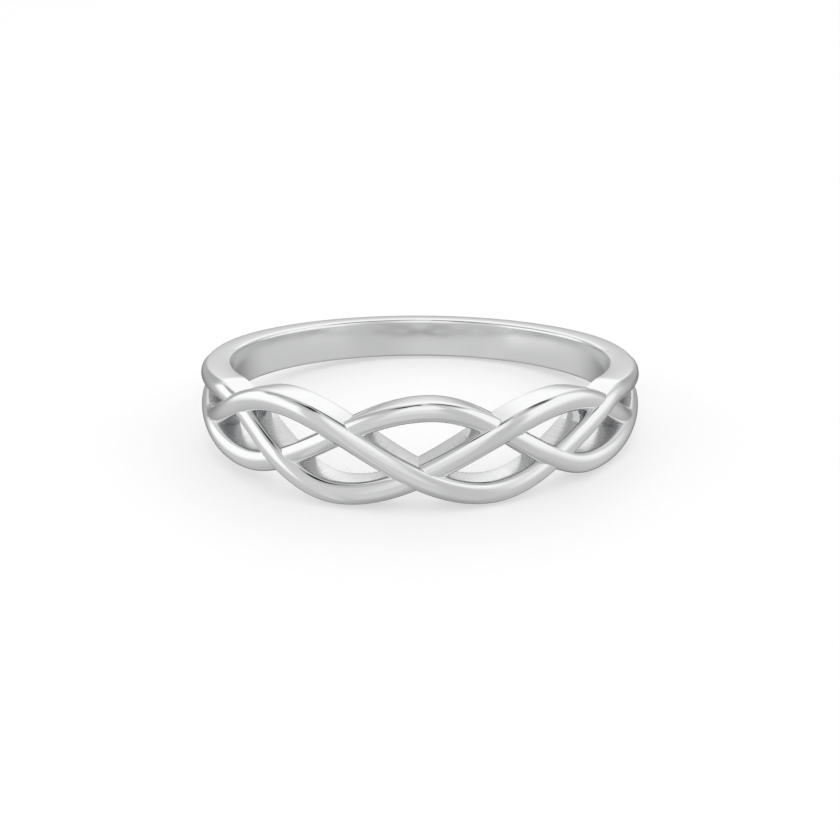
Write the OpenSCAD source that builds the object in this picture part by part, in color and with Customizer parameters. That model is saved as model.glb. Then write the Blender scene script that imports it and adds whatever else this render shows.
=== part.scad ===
/* [Band] */
// Inside diameter, US size 7
inner_d = 17.3; // [16.5:0.1:18.9]
// Width of the plain band along the finger
band_w = 1.92; // [1.8:0.02:2.1]
// Thickness of the plain band at its crown
band_t = 1.37; // [1.33:0.02:1.41]
// Angle from the front at which the plain band begins
band_from = 94; // [93:0.5:95]
// Bevel along the two edges of the bore
bore_bevel = 0.16; // [0.1:0.02:0.2]

/* [Braid] */
// Overall width of the braid along the finger
braid_w = 4.38; // [4.32:0.02:4.44]
// Width of a strand where it runs straight
strand_w = 0.88; // [0.84:0.02:0.92]
// Rise of a strand's dome above its shoulders
dome_rise = 0.24; // [0.2:0.02:0.28]
// Thickness of the braid at its front
front_t = 1.58; // [1.52:0.02:1.68]
// Thickness of the braid at its sides
side_t = 1.3; // [1.26:0.02:1.32]
// How far a strand rises where it passes over and sinks where it passes under
weave_lift = 0.08; // [0.06:0.02:0.12]

/* [Rest] */
// Slope of the ring on a table: the deeper braid lifts its front
rest_tilt = 6.4; // [6.25:0.05:6.55]
// Sideways lean onto the two lowest lobes
rest_roll = 1.2; // [1.05:0.05:1.35]

/* [Hidden] */
$fn = 96;

inner_r = inner_d / 2;
band_r = inner_r + band_t;
front_r = inner_r + front_t;
side_r = inner_r + side_t;
mean_r = (inner_r + front_r) / 2;
half_w = strand_w / 2;
// Middle height of a strand where it runs along the upper or the lower edge of the band
top_z = band_w / 2 - half_w;
low_z = -top_z;
// Middle height of a strand whose end is buried in the band
end_z = -0.35;

// Columns of the course and weave tables
ANGLE = 0;
HEIGHT = 1;
LEVEL = 1;
WIDTH = 2;

// Turning points of each strand's middle line: angle from the front, height, share of the strand's width
COURSE_A = [
  [-106, top_z - bore_bevel, 1], [-92, top_z, 1], [-62, top_z, 1], [-19, -2.55, 1.09],
  [38.5, 0.8, 1.06], [80, -1.24, 1], [98, end_z, 1], [104, end_z, 1]
];
COURSE_B = [
  [-104, end_z, 1], [-98, end_z, 1], [-77, -1.1, 1], [-37.5, 0.8, 1.06],
  [16, -2.46, 1.08], [63, top_z, 1], [92, top_z, 1], [106, top_z - bore_bevel, 1]
];
COURSE_C = [
  [-114, low_z + bore_bevel, 1], [-104, low_z, 1], [-49, -2, 1.02], [2.5, 0.9, 0.92],
  [47, -1.96, 1.02], [104, low_z, 1], [114, low_z + bore_bevel, 1]
];

// Level of each strand: angle from the front, 1 over another, -1 under it, -2 sunk into the band
WEAVE_A = [
  [-100, -2], [-88, 0], [-60, 0], [-50, -1], [-35, 1], [0, -1], [20, 1], [50, -1], [85, -1], [100, -2]
];
WEAVE_B = [
  [-100, -2], [-85, -1], [-72, -1], [-50, 1], [0, 1], [32, -1], [50, 1], [60, 0], [88, 0], [100, -2]
];
WEAVE_C = [
  [-108, -2], [-90, 0], [-72, 1], [-35, -1], [20, -1], [32, 1], [72, 1], [90, 0], [108, -2]
];

// Half a cosine wave from one table row to the next
function ease(t) = (1 - cos(180 * t)) / 2;
function row_at(table, a) = max([for (i = [0 : len(table) - 2]) if (i == 0 || table[i][ANGLE] <= a) i]);
function between(table, a, column) =
  let (i = row_at(table, a), from = table[i], to = table[i + 1])
  let (t = (a - from[ANGLE]) / (to[ANGLE] - from[ANGLE]))
  from[column] + (to[column] - from[column]) * ease(min(max(t, 0), 1));

// Crown radius of a strand: highest at the front, higher where it passes over
side_at = 75;
function crown_r(weave, a) =
  side_r + (front_r - side_r) * ease(1 - min(abs(a) / side_at, 1)) + weave_lift * between(weave, a, LEVEL);

// Domed outer face of a strand as [across, outward from the crown]
dome_steps = 6;
dome_arc_r = (half_w * half_w + dome_rise * dome_rise) / (2 * dome_rise);
function dome_drop(x) = dome_arc_r - sqrt(dome_arc_r * dome_arc_r - x * x);
DOME = [for (i = [0 : dome_steps]) let (x = half_w * (2 * i / dome_steps - 1)) [x, -dome_drop(x)]];
function half_width(course, a) = half_w * between(course, a, WIDTH);

// Depth inside the bore at which the band and the three strands begin, before the bore cuts them level
band_bury = 0.1;
strand_bury = [0.2, 0.3, 0.4];

// Rise of a strand's middle line per millimetre around the ring
slope_step = 0.5;
function slope(course, a) =
  (between(course, a + slope_step, HEIGHT) - between(course, a - slope_step, HEIGHT))
  / (2 * slope_step * PI / 180 * mean_r);

// A point on a strand: across its course at a right angle, at radius r
function polar(a, r, z) = [r * sin(a), -r * cos(a), z];
function place(course, a, across, r) =
  let (lean = atan(slope(course, a)))
  polar(a - across * sin(lean) / mean_r * 180 / PI, r, between(course, a, HEIGHT) + across * cos(lean));

// One ring of points around a strand, with radial walls
function strand_ring(course, weave, bury, a) =
  let (half = half_width(course, a))
  concat(
    [place(course, a, -half, inner_r - bury)],
    [for (p = DOME) place(course, a, p[0] / half_w * half, crown_r(weave, a) + p[1])],
    [place(course, a, half, inner_r - bury)]
  );

station_step = 3;
function stations(course) =
  let (first = course[0][ANGLE], last = course[len(course) - 1][ANGLE])
  let (n = ceil((last - first) / station_step))
  [for (i = [0 : n]) first + (last - first) * i / n];

// A closed strand swept through its rings
module strand(course, weave, bury) {
  angles = stations(course);
  rings = [for (a = angles) strand_ring(course, weave, bury, a)];
  n = len(rings[0]);
  points = [for (ring = rings) for (p = ring) p];
  sides = [
    for (k = [0 : len(rings) - 2]) for (i = [0 : n - 1])
    let (j = (i + 1) % n)
    for (face = [[k * n + i, k * n + j, (k + 1) * n + j], [k * n + i, (k + 1) * n + j, (k + 1) * n + i]]) face
  ];
  start = [[for (i = [n - 1 : -1 : 0]) i]];
  end = [[for (i = [0 : n - 1]) (len(rings) - 1) * n + i]];
  polyhedron(points = points, faces = concat(sides, start, end), convexity = 8);
}

// Plain band around the back: a domed outer face, a flat bore and a bevel at both edges of the bore
band_dome = 0.6;
module band() {
  outer = [for (p = DOME) [band_r + band_dome * p[1], p[0] / half_w * band_w / 2]];
  foot = band_w / 2 - bore_bevel - band_bury;
  section = concat(
    [[inner_r - band_bury, -foot], [inner_r + bore_bevel, -band_w / 2]],
    outer,
    [[inner_r + bore_bevel, band_w / 2], [inner_r - band_bury, foot]]
  );
  rotate([0, 0, band_from - 90])
    rotate_extrude(angle = 360 - 2 * band_from)
      polygon(section);
}

// The three strands as one body, brought to their overall width
module braid() {
  resize([0, 0, braid_w])
    union() {
      strand(COURSE_A, WEAVE_A, strand_bury[0]);
      strand(COURSE_B, WEAVE_B, strand_bury[1]);
      strand(COURSE_C, WEAVE_C, strand_bury[2]);
    }
}

// The hole for the finger
bore_reach = 6;
module bore() {
  translate([0, 0, -bore_reach])
    cylinder(h = 2 * bore_reach, r = inner_r);
}

// Where a point lies once the ring is tilted and rolled to its rest
function tilted(p) = [
  p[0],
  p[1] * cos(rest_tilt) + p[2] * sin(rest_tilt),
  p[2] * cos(rest_tilt) - p[1] * sin(rest_tilt)
];
function rolled(p) = [
  p[0] * cos(rest_roll) + p[2] * sin(rest_roll),
  p[1],
  p[2] * cos(rest_roll) - p[0] * sin(rest_roll)
];
function rested(p) = rolled(tilted(p));

// Lowest, outermost and highest points of the braid, from which its overall width follows
function strand_edges(course, weave) = [
  for (a = stations(course))
  for (p = [
    place(course, a, 0, crown_r(weave, a)),
    place(course, a, -half_width(course, a), inner_r),
    place(course, a, half_width(course, a), inner_r)
  ]) p
];
edges = concat(
  strand_edges(COURSE_A, WEAVE_A),
  strand_edges(COURSE_B, WEAVE_B),
  strand_edges(COURSE_C, WEAVE_C)
);
stretch = braid_w / (max([for (p = edges) p[2]]) - min([for (p = edges) p[2]]));

// The same points and the band's at rest, from which the ring is centred and set on the table
band_edge_r = band_r - band_dome * dome_rise;
outline = concat(
  [for (p = edges) rested([p[0], p[1], p[2] * stretch])],
  [
    for (a = [band_from : 360 - band_from])
    for (p = [polar(a, band_r, 0), polar(a, band_edge_r, -band_w / 2)]) rested(p)
  ]
);
function middle(axis) = (min([for (p = outline) p[axis]]) + max([for (p = outline) p[axis]])) / 2;
table_z = min([for (p = outline) p[2]]);

module ring() {
  color("silver")
    translate([-middle(0), -middle(1), -table_z])
      rotate([-rest_tilt, rest_roll, 0])
        difference() {
          union() {
            band();
            braid();
          }
          bore();
        }
}

ring();
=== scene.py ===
# %% [markdown]
# # A braided finger ring in polished white metal
# The ring lies on its side on a pale matte table, as it lies by itself: on two lobes of its braid and
# on the back edge of its band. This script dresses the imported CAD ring. It sweeps the band and the
# three strands again with a finer section, gives them three finishes of one metal, and lights them
# the way small jewellery is lit, with white all around and a few soft panels.

import math

import bpy
from mathutils import Euler, Matrix, Vector


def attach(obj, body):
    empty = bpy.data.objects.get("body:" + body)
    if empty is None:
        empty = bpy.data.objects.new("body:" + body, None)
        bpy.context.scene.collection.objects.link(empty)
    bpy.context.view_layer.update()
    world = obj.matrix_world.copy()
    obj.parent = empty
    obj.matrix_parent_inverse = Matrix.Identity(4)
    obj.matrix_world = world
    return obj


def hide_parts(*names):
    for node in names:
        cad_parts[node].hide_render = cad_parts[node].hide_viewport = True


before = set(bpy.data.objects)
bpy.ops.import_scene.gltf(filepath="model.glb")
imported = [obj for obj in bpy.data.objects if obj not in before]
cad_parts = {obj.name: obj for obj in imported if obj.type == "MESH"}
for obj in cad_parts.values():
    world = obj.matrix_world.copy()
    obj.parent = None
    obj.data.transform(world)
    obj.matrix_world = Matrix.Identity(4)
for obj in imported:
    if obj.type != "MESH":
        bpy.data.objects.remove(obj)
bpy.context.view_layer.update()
MM = 0.001

# %% [markdown]
# ## Sizes of the ring
# A jeweller gives a ring by its inside diameter and by the width and thickness of its band. These
# driving sizes are those of the part's source, in metres. The ring is drawn in its own frame, with the
# finger hole's axis as Z and the front of the braid towards -Y, and laid down at the end.

# %% Driving sizes
BORE_RADIUS = 8.65 * MM  # US size 7
BAND_WIDTH = 1.92 * MM
BAND_RADIUS = BORE_RADIUS + 1.37 * MM
STRAND_WIDTH = 0.88 * MM
FRONT_RADIUS = BORE_RADIUS + 1.58 * MM  # crown of a strand at the front of the braid
SIDE_RADIUS = BORE_RADIUS + 1.3 * MM  # crown of a strand at the sides
SIDE_ANGLE = 75  # degrees from the front
STRAND_RISE = 0.24 * MM  # height of a strand's dome
WEAVE_LIFT = 0.08 * MM  # how far a strand rises or sinks at a crossing
top_z = BAND_WIDTH / 2 - STRAND_WIDTH / 2
print("strand runs along the band's edges at", round(top_z / MM, 2), "mm from its middle")

# %% [markdown]
# ## The courses of the three strands
# Seen from the side, each strand rises and falls like a wave while it goes around. A wave is known by
# its turning points, so a short table of angles and heights is enough, with half a cosine from one
# point to the next. A second table says where a strand passes over another (1) or under it (-1), and
# where its end dives into the band (-2).

# %% Turning points: angle from the front in degrees, height in millimetres, share of the strand's width
EDGE = top_z / MM  # along the band's edge
SUNK = EDGE - 0.16  # inside the band, below its rounded edge at the bore
END = -0.35  # where a strand that ends early runs into the others
COURSES = {
    "left top": [
        (-136, SUNK, 1), (-94, EDGE, 1), (-62, EDGE, 1), (-19, -2.55, 1.09),
        (38.5, 0.8, 1.06), (80, -1.24, 1), (98, END, 1), (108, END, 1),
    ],
    "right top": [
        (-108, END, 1), (-98, END, 1), (-77, -1.1, 1), (-37.5, 0.8, 1.06),
        (16, -2.46, 1.08), (63, EDGE, 1), (94, EDGE, 1), (136, SUNK, 1),
    ],
    "middle": [
        (-138, -SUNK, 1), (-98, -EDGE, 1), (-49, -2, 1.02), (2.5, 0.9, 0.92),
        (47, -1.96, 1.02), (98, -EDGE, 1), (138, -SUNK, 1),
    ],
}
STRETCH = 1.0104  # brings the braid to its full width of 4.38 mm
WEAVES = {
    "left top": [
        (-106, -2), (-88, 0), (-60, 0), (-50, -1), (-35, 1), (0, -1),
        (20, 1), (50, -1), (72, -1), (86, -0.3), (97, -0.3), (114, -2),
    ],
    "right top": [
        (-114, -2), (-97, -0.3), (-86, -0.3), (-72, -1), (-50, 1), (0, 1),
        (32, -1), (50, 1), (60, 0), (88, 0), (106, -2),
    ],
    "middle": [
        (-108, -2), (-90, 0), (-72, 0.4), (-35, -1), (20, -1), (32, 1), (66, 0.7), (90, 0), (108, -2),
    ],
}


def ease(t):
    """Half a cosine wave, from 0 at t = 0 to 1 at t = 1."""
    t = min(max(t, 0), 1)
    return (1 - math.cos(math.pi * t)) / 2


def between(table, angle, column=1):
    """The value of a table's column at an angle, eased from one row to the next."""
    rows = [row for row in table if row[0] <= angle] or table[:1]
    start = rows[-1]
    end = table[min(table.index(start) + 1, len(table) - 1)]
    if end is start:
        return start[column]
    return start[column] + (end[column] - start[column]) * ease((angle - start[0]) / (end[0] - start[0]))


def crown_radius(weave, angle):
    """Radius of a strand's crown: highest at the front, higher where it passes over."""
    front = ease(1 - min(abs(angle) / SIDE_ANGLE, 1))
    return SIDE_RADIUS + (FRONT_RADIUS - SIDE_RADIUS) * front + WEAVE_LIFT * between(weave, angle)


for name, course in COURSES.items():
    print(f"strand {name}: from {course[0][0]} to {course[-1][0]} degrees, {len(course)} turning points")

# %% [markdown]
# ## Paths
# A sweep needs a path and a section. The path is a curve through points on the crown of the strand or
# band, and the radius of each point is the share of the section's width there. Short steps between
# the points keep the crossings clean and the polished surface smooth in its reflections.

# %% Path curves
STEP = 0.3  # degrees


def on_ring(angle, radius, height):
    """A point of the ring's own frame, with the angle counted from the front towards the right."""
    a = math.radians(angle)
    return Vector((radius * math.sin(a), -radius * math.cos(a), height))


def path_curve(name, points):
    """An open poly curve through points given as place and width."""
    data = bpy.data.curves.new(name, "CURVE")
    data.dimensions = "3D"
    spline = data.splines.new("POLY")
    spline.points.add(len(points) - 1)
    for point, (place, width) in zip(spline.points, points):
        point.co = (*place, 1)
        point.radius = width
    path = bpy.data.objects.new(name, data)
    bpy.context.scene.collection.objects.link(path)
    return path


def steps_between(first, last, count):
    """Equal steps from first to last, both included."""
    return [first + (last - first) * i / count for i in range(count + 1)]


def angles_between(first, last):
    """Angles from first to last, about STEP apart."""
    return steps_between(first, last, math.ceil((last - first) / STEP))


def strand_path(name):
    """The path of a strand's crown, from its course and its weave."""
    course, weave = COURSES[name], WEAVES[name]
    points = []
    for a in angles_between(course[0][0], course[-1][0]):
        place = on_ring(a, crown_radius(weave, a), between(course, a) * STRETCH * MM)
        points.append((place, between(course, a, 2)))
    return path_curve(f"path of strand {name}", points)


BAND_FROM = 94  # degrees from the front
BAND_SINK = 0.14 * MM  # how much thinner the band starts in the fork between the strands
BAND_COVER = 1.0065  # its faces lie just outside those of the strands
BAND_FADE = 30  # degrees over which it rises to its full thickness


def band_path():
    """The path of the band's crown, around the back from one fork to the other."""
    points = []
    for a in angles_between(BAND_FROM, 360 - BAND_FROM):
        low = 1 - ease(min(a - BAND_FROM, 360 - BAND_FROM - a) / BAND_FADE)
        points.append((on_ring(a, BAND_RADIUS - BAND_SINK * low, 0), BAND_COVER))
    return path_curve("path of the band", points)


# %% [markdown]
# ## Sections
# A section is drawn around the crown of its path: X outwards, Y across. It has a domed face with a
# narrow rounded shoulder on each side, a wall that the polishing has left a little full, and a rounded
# edge at the bore. Its lower part is moved onto the bore later, so its depth here only has to be more
# than the wall's.

# %% Section curves
DEPTH = 1.3 * MM
FOOT = 0.8 * MM  # what lies deeper than this belongs to the bore
FULLNESS = 0.015 * MM  # how far a wall stands out in its middle
BAND_RISE = 0.14 * MM  # height of the band's dome
STRAND_SHOULDER = 0.115 * MM  # width of the rounding between dome and wall
BAND_SHOULDER = 0.09 * MM
STRAND_BEVEL = 0.04 * MM  # rounding between wall and bore
BAND_BEVEL = 0.16 * MM
DOME_STEPS = 12
SHOULDER_STEPS = 5
WALL_STEPS = 4
BORE_EDGE_STEPS = 4


def arc(center, radius, first, last, count):
    """Points on a circle, with the angles counted from straight outwards towards the right."""
    turns = steps_between(first, last, count)
    return [(center[0] + radius * math.sin(t), center[1] + radius * math.cos(t)) for t in turns]


def section_curve(name, width, rise, shoulder, bevel):
    """A closed section, from the left wall over the dome and down around the bore."""
    half = width / 2
    radius = (half * half + rise * rise) / (2 * rise)
    edge = half - shoulder
    drop = radius - math.sqrt(radius * radius - edge * edge)
    lean = math.asin(edge / radius)
    dome = [(x, math.sqrt(radius * radius - x * x) - radius) for x in steps_between(-edge, edge, DOME_STEPS)]
    # The shoulder turns from the dome's slope to the wall's on a small circle
    reach = shoulder / (1 - math.sin(lean))
    center = (edge - reach * math.sin(lean), -drop - reach * math.cos(lean))
    turn = arc(center, reach, lean, math.pi / 2, SHOULDER_STEPS)[1:]
    top, bottom = turn[-1][1], -DEPTH + bevel
    # The wall bulges as a flat parabola
    shares = steps_between(0, 1, WALL_STEPS)[1:-1]
    wall = [(half + FULLNESS * 4 * t * (1 - t), top + (bottom - top) * t) for t in shares]
    bore_edge = arc((half - bevel, -DEPTH + bevel), bevel, math.pi / 2, math.pi, BORE_EDGE_STEPS)
    bore_middle = [(0, -DEPTH)]
    right = turn + wall + bore_edge + bore_middle
    points = [(-x, y) for x, y in reversed(right[:-1])] + dome + right
    data = bpy.data.curves.new(name, "CURVE")
    data.dimensions = "2D"
    spline = data.splines.new("POLY")
    spline.points.add(len(points) - 1)
    spline.use_cyclic_u = True
    for point, (across, outwards) in zip(spline.points, points):
        point.co = (outwards, across, 0, 1)
    section = bpy.data.objects.new(name, data)
    bpy.context.scene.collection.objects.link(section)
    return section


strand_section = section_curve(
    "section of a strand", STRAND_WIDTH, STRAND_RISE, STRAND_SHOULDER, STRAND_BEVEL
)
band_section = section_curve("section of the band", BAND_WIDTH, BAND_RISE, BAND_SHOULDER, BAND_BEVEL)
print("a strand's section has", len(strand_section.data.splines[0].points), "points")

# %% [markdown]
# ## Sweeping with Geometry Nodes
# The inner tree sweeps a section along a path. The path's normal is set to point away from the ring's
# axis, so every wall stands square to the bore. Then the section's lower part is moved onto the bore.
# A Bevel on a plain curve would be quicker, but its section can't reach down to the bore everywhere
# while the strand rises and falls.

# %% The rest of the ring on the table
REST_TILT = math.radians(6.4)  # backwards, because the braid is wider than the band
REST_ROLL = math.radians(1.2)  # to one side, because its two lowest lobes differ
rest_turn = Euler((-REST_TILT, REST_ROLL, 0))
REST_PLACE = Vector((0.0016, 0.2483, 2.0737)) * MM
ring_axis = rest_turn.to_matrix() @ Vector((0, 0, 1))
print("the finger hole leans", round(math.degrees(ring_axis.angle(Vector((0, 0, 1)))), 2), "degrees")


# %% Helpers for node trees
def add(tree, kind, **settings):
    """Adds a node and sets its properties."""
    node = tree.nodes.new(kind)
    for key, value in settings.items():
        setattr(node, key, value)
    return node


def fill(tree, node, **values):
    """Sets inputs by name, from a socket or a plain value; an underscore stands for a space."""
    for key, value in values.items():
        socket = node.inputs[key.replace("_", " ")]
        if isinstance(value, bpy.types.NodeSocket):
            tree.links.new(value, socket)
        else:
            socket.default_value = value
    return node


def maths(tree, operation, a, b=None, kind="ShaderNodeMath", output="Value"):
    """A math node of two values or sockets; returns its output."""
    node = add(tree, kind, operation=operation)
    for socket, value in zip(node.inputs, (a, b)):
        if isinstance(value, bpy.types.NodeSocket):
            tree.links.new(value, socket)
        elif value is not None:
            socket.default_value = value
    return node.outputs[output]


def vector_maths(tree, operation, a, b=None, output="Vector"):
    """The same for vectors."""
    return maths(tree, operation, a, b, "ShaderNodeVectorMath", output)


def new_tree(name, kind, inputs, outputs):
    """A node group with the named inputs and outputs; returns it with its two end nodes."""
    tree = bpy.data.node_groups.new(name, kind)
    for label, socket in inputs.items():
        tree.interface.new_socket(label, in_out="INPUT", socket_type=f"NodeSocket{socket}")
    for label, socket in outputs.items():
        tree.interface.new_socket(label, in_out="OUTPUT", socket_type=f"NodeSocket{socket}")
    return tree, add(tree, "NodeGroupInput").outputs, add(tree, "NodeGroupOutput")


def join_xyz(tree, **parts):
    """A vector from its parts; a part that isn't given is zero."""
    return fill(tree, add(tree, "ShaderNodeCombineXYZ"), **parts).outputs[0]


# %% Helpers for geometry
def away_from_axis(tree):
    """The unit vector away from the axis, the radius and the height of the current point."""
    position = add(tree, "GeometryNodeInputPosition").outputs[0]
    parts = fill(tree, add(tree, "ShaderNodeSeparateXYZ"), Vector=position).outputs
    flat = join_xyz(tree, X=parts["X"], Y=parts["Y"])
    radius = vector_maths(tree, "LENGTH", flat, output="Value")
    return vector_maths(tree, "NORMALIZE", flat), radius, parts["Z"]


def facing_away(tree):
    """How far a face looks away from the axis: 1 straight away, 0 for a wall, -1 for the bore."""
    normal = add(tree, "GeometryNodeInputNormal").outputs["Normal"]
    return vector_maths(tree, "DOT_PRODUCT", normal, away_from_axis(tree)[0], output="Value")


def store(tree, geometry, name, value, kind, domain):
    """Writes an attribute on the geometry and returns the geometry."""
    node = add(tree, "GeometryNodeStoreNamedAttribute", data_type=kind, domain=domain)
    return fill(tree, node, Geometry=geometry, Name=name, Value=value).outputs["Geometry"]


def stored(tree, name, kind):
    """Reads an attribute that an earlier step has written."""
    node = add(tree, "GeometryNodeInputNamedAttribute", data_type=kind)
    return fill(tree, node, Name=name).outputs["Attribute"]


# %% The inner tree: one sweep
CRISP_ANGLE = math.radians(30)  # an edge sharper than this stays crisp
WALL_FACING = 0.2  # a face that looks less than this away from the axis is a wall


def sweep_tree():
    """Sweeps a section along a path and sets it on the bore."""
    tree, given, result = new_tree(
        "Sweep around the finger",
        "GeometryNodeTree",
        {
            "Path": "Geometry",
            "Section": "Object",
            "Bore Radius": "Float",
            "Section Depth": "Float",
            "Foot Depth": "Float",
        },
        {"Swept": "Geometry"},
    )
    turned = add(tree, "GeometryNodeSetCurveNormal", mode="FREE")
    fill(tree, turned, Curve=given["Path"], Normal=away_from_axis(tree)[0])
    keep_along = add(tree, "GeometryNodeCaptureAttribute", domain="POINT")
    keep_along.capture_items.new("FLOAT", "Along")
    along = add(tree, "GeometryNodeSplineParameter").outputs["Length"]
    fill(tree, keep_along, Geometry=turned.outputs["Curve"], Along=along)

    section = fill(tree, add(tree, "GeometryNodeObjectInfo"), Object=given["Section"])
    keep_section = add(tree, "GeometryNodeCaptureAttribute", domain="POINT")
    keep_section.capture_items.new("VECTOR", "Drawn")
    keep_section.capture_items.new("FLOAT", "Around")
    drawn = add(tree, "GeometryNodeInputPosition").outputs[0]
    around = add(tree, "GeometryNodeSplineParameter").outputs["Length"]
    fill(tree, keep_section, Geometry=section.outputs["Geometry"], Drawn=drawn, Around=around)

    sweep = add(tree, "GeometryNodeCurveToMesh")
    fill(tree, sweep, Curve=keep_along.outputs["Geometry"], Profile_Curve=keep_section.outputs["Geometry"])
    fill(tree, sweep, Scale=add(tree, "GeometryNodeInputRadius").outputs[0], Fill_Caps=True)

    # The lower part of the section moves onto the bore
    away, radius, height = away_from_axis(tree)
    drawn = fill(tree, add(tree, "ShaderNodeSeparateXYZ"), Vector=keep_section.outputs["Drawn"])
    depth = maths(tree, "MULTIPLY", drawn.outputs["X"], -1.0)
    is_foot = maths(tree, "GREATER_THAN", depth, given["Foot Depth"])
    above_bore = maths(tree, "SUBTRACT", given["Section Depth"], depth)
    foot_radius = maths(tree, "ADD", given["Bore Radius"], above_bore)
    new_radius = add(tree, "ShaderNodeMix", data_type="FLOAT")
    fill(tree, new_radius, Factor=is_foot, A=radius, B=foot_radius)
    outwards = add(tree, "ShaderNodeVectorMath", operation="SCALE")
    fill(tree, outwards, Vector=away, Scale=new_radius.outputs[0])
    place = vector_maths(tree, "ADD", outwards.outputs[0], join_xyz(tree, Z=height))
    seated = fill(tree, add(tree, "GeometryNodeSetPosition"), Geometry=sweep.outputs["Mesh"], Position=place)

    # A map that follows the sweep, along it and around it, in millimetres
    map_x = maths(tree, "DIVIDE", keep_along.outputs["Along"], MM)
    map_y = maths(tree, "DIVIDE", keep_section.outputs["Around"], MM)
    unrolled = join_xyz(tree, X=map_x, Y=map_y)
    mapped = store(tree, seated.outputs["Geometry"], "sweep_map", unrolled, "FLOAT2", "CORNER")

    # A wall's face looks square to the direction away from the axis
    is_wall = maths(tree, "LESS_THAN", maths(tree, "ABSOLUTE", facing_away(tree)), WALL_FACING)
    walls = store(tree, mapped, "wall", is_wall, "BOOLEAN", "FACE")

    # Smooth faces with crisp edges, whose normals are kept for the fused ring
    smooth = fill(tree, add(tree, "GeometryNodeSetShadeSmooth", domain="FACE"), Geometry=walls)
    angle = add(tree, "GeometryNodeInputMeshEdgeAngle").outputs["Unsigned Angle"]
    sharp = add(tree, "GeometryNodeSetShadeSmooth", domain="EDGE")
    crisp = maths(tree, "GREATER_THAN", angle, CRISP_ANGLE)
    fill(tree, sharp, Geometry=smooth.outputs["Geometry"], Selection=crisp, Shade_Smooth=False)
    normal = add(tree, "GeometryNodeInputNormal").outputs["Normal"]
    swept = store(tree, sharp.outputs["Geometry"], "swept_normal", normal, "FLOAT_VECTOR", "CORNER")
    fill(tree, result, Swept=swept)
    return tree


sweeping = sweep_tree()
print("the sweep has", len(sweeping.nodes), "nodes")

# %% [markdown]
# ## Fusing the ring
# The real ring is one casting, so the four sweeps become one closed surface with a boolean union.
# Sweeps that only lie in one another would look nearly the same, but they would leave hidden walls in
# the metal. The normals kept from each sweep are put back after the union, so that the domes stay
# smooth and the crossings crisp. Each face gets its finish from what it is: dome, wall or bore.

# %% The outer tree: four sweeps fused and laid down
BORE_STEP = 0.002 * MM  # so that no two bore faces lie in one another
BRUSHED_BELOW = -0.2 * MM  # the wheel reaches the walls above this height
BORE_FACING = -0.9  # a face that looks more towards the axis than this belongs to the bore
STRAND_INPUTS = {"left top": "Left Strand", "right top": "Right Strand", "middle": "Middle Strand"}


def ring_tree():
    """Sweeps the band and the strands, fuses them, lays the ring down and gives it its finishes."""
    tree, given, result = new_tree(
        "Braided ring",
        "GeometryNodeTree",
        {
            "Band": "Geometry",
            **{label: "Object" for label in STRAND_INPUTS.values()},
            "Strand Section": "Object",
            "Band Section": "Object",
            "Bore Radius": "Float",
            "Bore Step": "Float",
            "Section Depth": "Float",
            "Foot Depth": "Float",
            "Brushed Below": "Float",
            "Rest Rotation": "Rotation",
            "Rest Place": "Vector",
            "Finish": "Material",
            "Wall Finish": "Material",
            "Bore Finish": "Material",
        },
        {"Ring": "Geometry"},
    )
    fuse = add(tree, "GeometryNodeMeshBoolean", operation="UNION", solver="MANIFOLD")
    bore_radius = given["Bore Radius"]
    paths = [(given["Band"], given["Band Section"])]
    for label in STRAND_INPUTS.values():
        info = fill(tree, add(tree, "GeometryNodeObjectInfo"), Object=given[label])
        paths.append((info.outputs["Geometry"], given["Strand Section"]))
    for path, section in paths:
        sweep = add(tree, "GeometryNodeGroup", node_tree=sweeping)
        fill(tree, sweep, Path=path, Section=section, Bore_Radius=bore_radius)
        fill(tree, sweep, Section_Depth=given["Section Depth"], Foot_Depth=given["Foot Depth"])
        tree.links.new(sweep.outputs["Swept"], fuse.inputs["Mesh 2"])
        bore_radius = maths(tree, "ADD", bore_radius, given["Bore Step"])

    # The walls that the wheel can't reach, and the bore, which looks towards the axis
    low = maths(tree, "LESS_THAN", away_from_axis(tree)[2], given["Brushed Below"])
    is_rough = maths(tree, "MULTIPLY", stored(tree, "wall", "BOOLEAN"), low)
    marked = store(tree, fuse.outputs["Mesh"], "wall", is_rough, "BOOLEAN", "FACE")
    is_bore = maths(tree, "LESS_THAN", facing_away(tree), BORE_FACING)
    marked = store(tree, marked, "bore", is_bore, "BOOLEAN", "FACE")

    # The ring and its kept normals are laid down together
    rest = given["Rest Rotation"]
    laid = add(tree, "GeometryNodeTransform")
    fill(tree, laid, Geometry=marked, Rotation=rest, Translation=given["Rest Place"])
    turned = add(tree, "FunctionNodeRotateVector")
    fill(tree, turned, Vector=stored(tree, "swept_normal", "FLOAT_VECTOR"), Rotation=rest)
    normal = vector_maths(tree, "NORMALIZE", turned.outputs[0])
    shaded = add(tree, "GeometryNodeSetMeshNormal", mode="FREE", domain="CORNER")
    fill(tree, shaded, Mesh=laid.outputs["Geometry"], Custom_Normal=normal)

    real = fill(tree, add(tree, "GeometryNodeRealizeInstances"), Geometry=shaded.outputs["Mesh"])
    dressed = add(tree, "GeometryNodeSetMaterial")
    fill(tree, dressed, Geometry=real.outputs[0], Material=given["Finish"])
    for mark, finish in (("wall", "Wall Finish"), ("bore", "Bore Finish")):
        bare, dressed = dressed, add(tree, "GeometryNodeSetMaterial")
        where = stored(tree, mark, "BOOLEAN")
        fill(tree, dressed, Geometry=bare.outputs[0], Selection=where, Material=given[finish])
    fill(tree, result, Ring=dressed.outputs[0])
    return tree


braiding = ring_tree()
print("the ring's tree has", len(braiding.nodes), "nodes")

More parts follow.
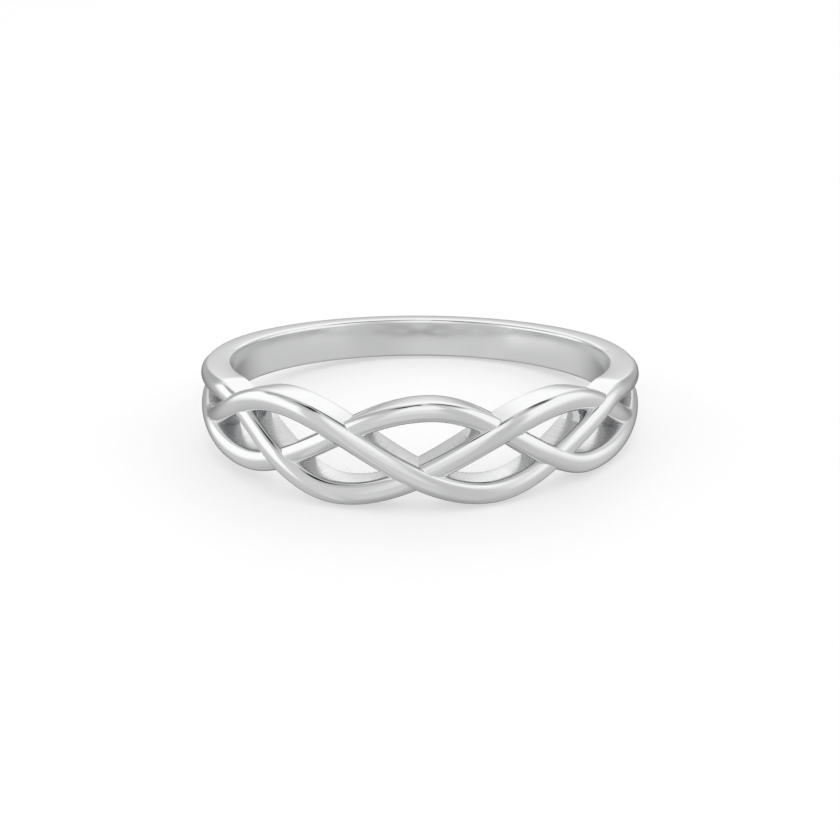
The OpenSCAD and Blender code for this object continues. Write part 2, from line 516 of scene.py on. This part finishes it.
# %% [markdown]
# ## The metal
# White metal is plated and polished to a mirror, but it is never perfect: a cloth leaves a faint
# ripple and fine hairlines. The walls between the strands can't be reached by the wheel, so they keep
# the file's fine grain, and the bore is only smoothed, so it mirrors the braid softly. All three are
# one metal with different roughness, with shared detail in a group.


# %% A shader group for fine surface detail
NOISE_LOW = 0.3  # nearly all of the noise lies between these two
NOISE_HIGH = 0.7
RELIEF = 0.01 * MM


def grain_group():
    """Noise as a height for bump and as a roughness."""
    tree, given, result = new_tree(
        "Metal grain",
        "ShaderNodeTree",
        {"Vector": "Vector", "Scale": "Float", "Roughness Low": "Float", "Roughness High": "Float"},
        {"Height": "Float", "Roughness": "Float"},
    )
    noise = add(tree, "ShaderNodeTexNoise")
    fill(tree, noise, Vector=given["Vector"], Scale=given["Scale"], Detail=2.0)
    spread = add(tree, "ShaderNodeMapRange")
    fill(tree, spread, Value=noise.outputs["Fac"], From_Min=NOISE_LOW, From_Max=NOISE_HIGH)
    fill(tree, spread, To_Min=given["Roughness Low"], To_Max=given["Roughness High"])
    fill(tree, result, Height=noise.outputs["Fac"], Roughness=spread.outputs["Result"])
    return tree


grain = grain_group()

# %% The three finishes
METAL = (0.778, 0.780, 0.784, 1)  # a trace of blue


def white_metal(name, stretch, scale, low, high, bump, mapped=False):
    """A metal with grain of a given stretch and scale, roughness from low to high, and a bump."""
    material = bpy.data.materials.new(name)
    material.use_nodes = True
    tree = material.node_tree
    shader = tree.nodes["Principled BSDF"]
    shader.inputs["Base Color"].default_value = METAL
    shader.inputs["Metallic"].default_value = 1.0
    if mapped:
        source = add(tree, "ShaderNodeUVMap", uv_map="sweep_map").outputs["UV"]
    else:
        source = add(tree, "ShaderNodeTexCoord").outputs["Object"]
    stretched = fill(tree, add(tree, "ShaderNodeMapping"), Vector=source, Scale=stretch)
    detail = add(tree, "ShaderNodeGroup", node_tree=grain)
    fill(tree, detail, Vector=stretched.outputs[0], Scale=scale, Roughness_Low=low, Roughness_High=high)
    relief = add(tree, "ShaderNodeBump")
    fill(tree, relief, Height=detail.outputs["Height"], Strength=bump, Distance=RELIEF)
    fill(tree, shader, Roughness=detail.outputs["Roughness"], Normal=relief.outputs["Normal"])
    return material


EVEN = (1, 1, 1)
ACROSS = (5, 0.3, 1)  # hairlines that run across the strand
polished_metal = white_metal("polished white metal", EVEN, scale=900.0, low=0.02, high=0.05, bump=0.03)
brushed_metal = white_metal(
    "brushed white metal", ACROSS, scale=2.0, low=0.24, high=0.38, bump=0.08, mapped=True
)
soft_metal = white_metal("soft white metal", EVEN, scale=900.0, low=0.16, high=0.2, bump=0.03)

# %% [markdown]
# ## The ring
# The outer tree runs as a modifier on the band's path. Its result becomes a plain mesh, one piece, and
# the paths and sections are no longer needed.

# %% Sweep, fuse and dress
band = band_path()
strands = {label: strand_path(name) for name, label in STRAND_INPUTS.items()}
modifier = band.modifiers.new("ring", "NODES")
modifier.node_group = braiding
values = {
    **strands,
    "Strand Section": strand_section,
    "Band Section": band_section,
    "Bore Radius": BORE_RADIUS,
    "Bore Step": BORE_STEP,
    "Section Depth": DEPTH,
    "Foot Depth": FOOT,
    "Brushed Below": BRUSHED_BELOW,
    "Rest Rotation": rest_turn,
    "Rest Place": REST_PLACE,
    "Finish": polished_metal,
    "Wall Finish": brushed_metal,
    "Bore Finish": soft_metal,
}
for item in braiding.interface.items_tree:
    if item.in_out == "INPUT" and item.name in values:
        modifier[item.identifier] = values[item.name]
shape = band.evaluated_get(bpy.context.evaluated_depsgraph_get())
ring = bpy.data.objects.new("braided_ring", bpy.data.meshes.new_from_object(shape))
bpy.context.scene.collection.objects.link(ring)
for helper in (band, *strands.values(), strand_section, band_section):
    bpy.data.objects.remove(helper)
print("the ring has", sum(len(p.vertices) - 2 for p in ring.data.polygons), "triangles")
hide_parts("ring")
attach(ring, "root")

# %% [markdown]
# ## The table
# The ring lies on white paper. A plane is enough for it, because nothing shows on it but the ring's
# soft shade. Mirror rays don't see it: the metal mirrors a ground that is greyer than the lit paper,
# and the tent gives that ground.

# %% The table
TABLE_SIZE = 1.2
PAPER = (0.68, 0.68, 0.68, 1)
bpy.ops.mesh.primitive_plane_add(size=TABLE_SIZE)
table = bpy.context.object
table.name = "table"
paper = bpy.data.materials.new("white paper")
paper.use_nodes = True
matte = paper.node_tree.nodes["Principled BSDF"]
matte.inputs["Base Color"].default_value = PAPER
matte.inputs["Roughness"].default_value = 0.6
matte.inputs["Specular IOR Level"].default_value = 0.2
table.data.materials.append(paper)
table.visible_glossy = False  # the metal sees the grey ground of the tent instead

# %% [markdown]
# ## The tent
# Polished metal has hardly any look of its own: it shows what stands around it. So the light is built
# as a photographer's tent: pale all around, with large soft panels at the left, the right and the
# front, one overhead, and grey gaps and dark flags between them that draw the lines on the strands.
# Boards and lamps could stand around the ring as objects. Here they are painted on the world by
# direction, so that each is one row of a table with soft edges of its own, and the picture has little
# noise.


# %% A shader group for one soft panel
def smooth_step(tree, value, edge, width, rising):
    """A mask that turns from one side of an edge to the other over a width."""
    half = maths(tree, "MULTIPLY", width, 0.5)
    start, end = (maths(tree, operation, edge, half) for operation in ("SUBTRACT", "ADD"))
    step = add(tree, "ShaderNodeMapRange", interpolation_type="SMOOTHSTEP")
    fill(tree, step, Value=value, From_Min=start, From_Max=end)
    return fill(tree, step, To_Min=0.0 if rising else 1.0, To_Max=1.0 if rising else 0.0).outputs["Result"]


def panel_group():
    """A mask of 1 inside a panel's four sides, given as directions in degrees."""
    inputs = ("Turn", "Height", "Left", "Right", "Low", "High", "Side Edge", "Low Edge", "High Edge")
    inputs = dict.fromkeys(inputs, "Float")
    tree, given, result = new_tree("Soft panel", "ShaderNodeTree", inputs, {"Mask": "Float"})
    middle = maths(tree, "MULTIPLY", maths(tree, "ADD", given["Left"], given["Right"]), 0.5)
    wrap = add(tree, "ShaderNodeMath", operation="WRAP")
    tree.links.new(maths(tree, "SUBTRACT", given["Turn"], middle), wrap.inputs[0])
    wrap.inputs[1].default_value = 180
    wrap.inputs[2].default_value = -180
    aside = maths(tree, "ABSOLUTE", wrap.outputs[0])
    reach = maths(tree, "SUBTRACT", given["Right"], middle)
    within = smooth_step(tree, aside, reach, given["Side Edge"], rising=False)
    above = smooth_step(tree, given["Height"], given["Low"], given["Low Edge"], rising=True)
    below = smooth_step(tree, given["Height"], given["High"], given["High Edge"], rising=False)
    fill(tree, result, Mask=maths(tree, "MULTIPLY", maths(tree, "MULTIPLY", within, above), below))
    return tree


soft_panel = panel_group()

# %% The tent: panels in degrees, turned from the front towards the right, each over the ones before
WHITE = 0.9  # all lights are given against this one
PANELS = [
    # name, left, right, low, high, side edge, low edge, high edge, light
    ("high back panel", 140, 220, 34, 58, 20, 20, 10, 1.15),
    ("back shade", 128, 232, -60, 22, 32, 30, 18, 0.54),
    ("back panel", 157, 197, 8, 57, 16, 26, 8, 1.34),
    ("left panel", -128, -53, -4, 41, 12, 22, 20, 1.38),
    ("right panel", 48, 119, 2, 56, 18, 34, 10, 1.3),
    ("front panel", -28, 26, -1, 72, 14, 6, 10, 1.0),
    ("front glow", -30, 24, 30, 67, 16, 36, 10, 1.28),
    ("front ground", -30, 6, -48, -4, 14, 20, 4, 0.85),
    ("back ground", 146, 214, -66, -10, 30, 20, 8, 0.28),
    ("left gap", -55, -40, -55, 66, 10, 30, 6, 0.86),
    ("right gap", 15, 44, -55, 38, 16, 30, 14, 0.75),
    ("left high shade", -136, -43, 46, 95, 14, 12, 1, 0.68),
    ("left outer shade", -140, -101, 36, 62, 12, 10, 10, 0.54),
    ("right high shade", 88, 142, 55, 95, 14, 10, 1, 0.58),
    ("right zenith shade", 30, 92, 66, 83, 10, 6, 3, 0.73),
    ("left top flag", -98, -40, 65, 90, 16, 9, 1, 0.02),
    ("left zenith flag", -160, -26, 79, 92, 16, 5, 1, 0.05),
    ("right top flag", 94, 176, 60, 76, 12, 7, 7, 0.14),
    ("top panel", -181, 181, 87, 100, 1, 2, 1, 1.05),
]
SKY = 0.84
GROUND = [(-90, 0.42), (-72, 0.56), (-50, 0.67), (-30, 0.76), (-5, 0.83), (-2, SKY)]  # height, light


def tent():
    """The world: a ground and a sky by height, and the panels painted over them."""
    world = bpy.data.worlds.new("white tent")
    world.use_nodes = True
    tree = world.node_tree
    parts = add(tree, "ShaderNodeSeparateXYZ")
    fill(tree, parts, Vector=add(tree, "ShaderNodeTexCoord").outputs["Generated"])
    turn = maths(tree, "ARCTAN2", parts.outputs["X"], maths(tree, "MULTIPLY", parts.outputs["Y"], -1.0))
    turn = maths(tree, "DEGREES", turn)
    height = maths(tree, "DEGREES", maths(tree, "ARCSINE", parts.outputs["Z"]))
    light = None
    for (low, dark), (high, pale) in zip(GROUND, GROUND[1:]):
        step = add(tree, "ShaderNodeMapRange")
        fill(tree, step, Value=height, From_Min=low, From_Max=high, To_Min=0.0, To_Max=pale - dark)
        light = step.outputs["Result"] if light is None else maths(tree, "ADD", light, step.outputs["Result"])
    light = maths(tree, "ADD", light, GROUND[0][1])
    for name, left, right, low, high, side_edge, low_edge, high_edge, own_light in PANELS:
        panel = add(tree, "ShaderNodeGroup", node_tree=soft_panel, label=name)
        fill(tree, panel, Turn=turn, Height=height, Left=left, Right=right, Low=low, High=high)
        fill(tree, panel, Side_Edge=side_edge, Low_Edge=low_edge, High_Edge=high_edge)
        mix = add(tree, "ShaderNodeMix", data_type="FLOAT")
        light = fill(tree, mix, Factor=panel.outputs["Mask"], A=light, B=own_light).outputs[0]
    background = tree.nodes["Background"]
    background.inputs["Color"].default_value = (1, 1, 1, 1)
    tree.links.new(maths(tree, "MULTIPLY", light, WHITE), background.inputs["Strength"])
    return world


bpy.context.scene.world = tent()
print("the tent has", len(PANELS), "panels and flags")

# %% [markdown]
# ## The lamp
# The tent alone leaves the paper grey. A large lamp above makes it white. It casts no shadow and isn't
# mirrored, so the shades where the ring touches the paper come from the tent, and the metal's lines too.

# %% A lamp above that lights the paper and leaves the metal alone
LAMP_HEIGHT = 1.5
LAMP_SIZE = 1.2
LAMP_POWER = 18.0  # watts
lamp_data = bpy.data.lights.new("lamp", "AREA")
lamp_data.size = LAMP_SIZE
lamp_data.energy = LAMP_POWER
lamp_data.use_shadow = False  # a fill that keeps the contact shadows light
lamp = bpy.data.objects.new("lamp", lamp_data)
lamp.location = (0, 0, LAMP_HEIGHT)
lamp.visible_glossy = False
bpy.context.scene.collection.objects.link(lamp)
bpy.context.scene.view_settings.view_transform = "Standard"
BOUNCES = 16  # the strands mirror one another many times
bpy.context.scene.cycles.max_bounces = BOUNCES
bpy.context.scene.cycles.glossy_bounces = BOUNCES

# %% [markdown]
# ## The camera
# The picture is taken from close by, so the front of the ring looks larger than its back. How wide the
# ring's circles open tells how far the camera stands above the ring's own middle plane. So the camera
# is placed in the ring's frame first, and then turned along with the ring. The picture's frame is moved
# with the lens shift, as tilting the camera would change the view of the ring.

# %% The camera
CAMERA_ELEVATION = math.radians(13.39)  # above the ring's own middle plane
CAMERA_DISTANCE = 66 * MM
CAMERA_ROLL = math.radians(0.2)
PIXELS = 840
FOCAL_PIXELS = 1433
CENTRE_ABOVE = 43.4  # pixels by which the ring's centre lies above the middle of the picture
SENSOR = 36  # millimetres, as lenses are named
CLIP_FROM = 1 * MM
CLIP_TO = 10
camera_data = bpy.data.cameras.new("camera")
camera_data.sensor_width = SENSOR
camera_data.lens = FOCAL_PIXELS / PIXELS * SENSOR
camera_data.shift_y = -CENTRE_ABOVE / PIXELS
camera_data.clip_start = CLIP_FROM
camera_data.clip_end = CLIP_TO
camera = bpy.data.objects.new("camera", camera_data)
bpy.context.scene.collection.objects.link(camera)
turn = rest_turn.to_matrix()
back = Vector((0, -math.cos(CAMERA_ELEVATION), math.sin(CAMERA_ELEVATION)))
camera.location = REST_PLACE + turn @ (back * CAMERA_DISTANCE)
aim = Matrix.Rotation(math.pi / 2 - CAMERA_ELEVATION, 3, "X") @ Matrix.Rotation(CAMERA_ROLL, 3, "Z")
camera.rotation_euler = (turn @ aim).to_euler()
bpy.context.scene.camera = camera
look_down = math.asin((camera.location.z - REST_PLACE.z) / CAMERA_DISTANCE)
print("the camera looks", round(math.degrees(look_down), 2), "degrees down")
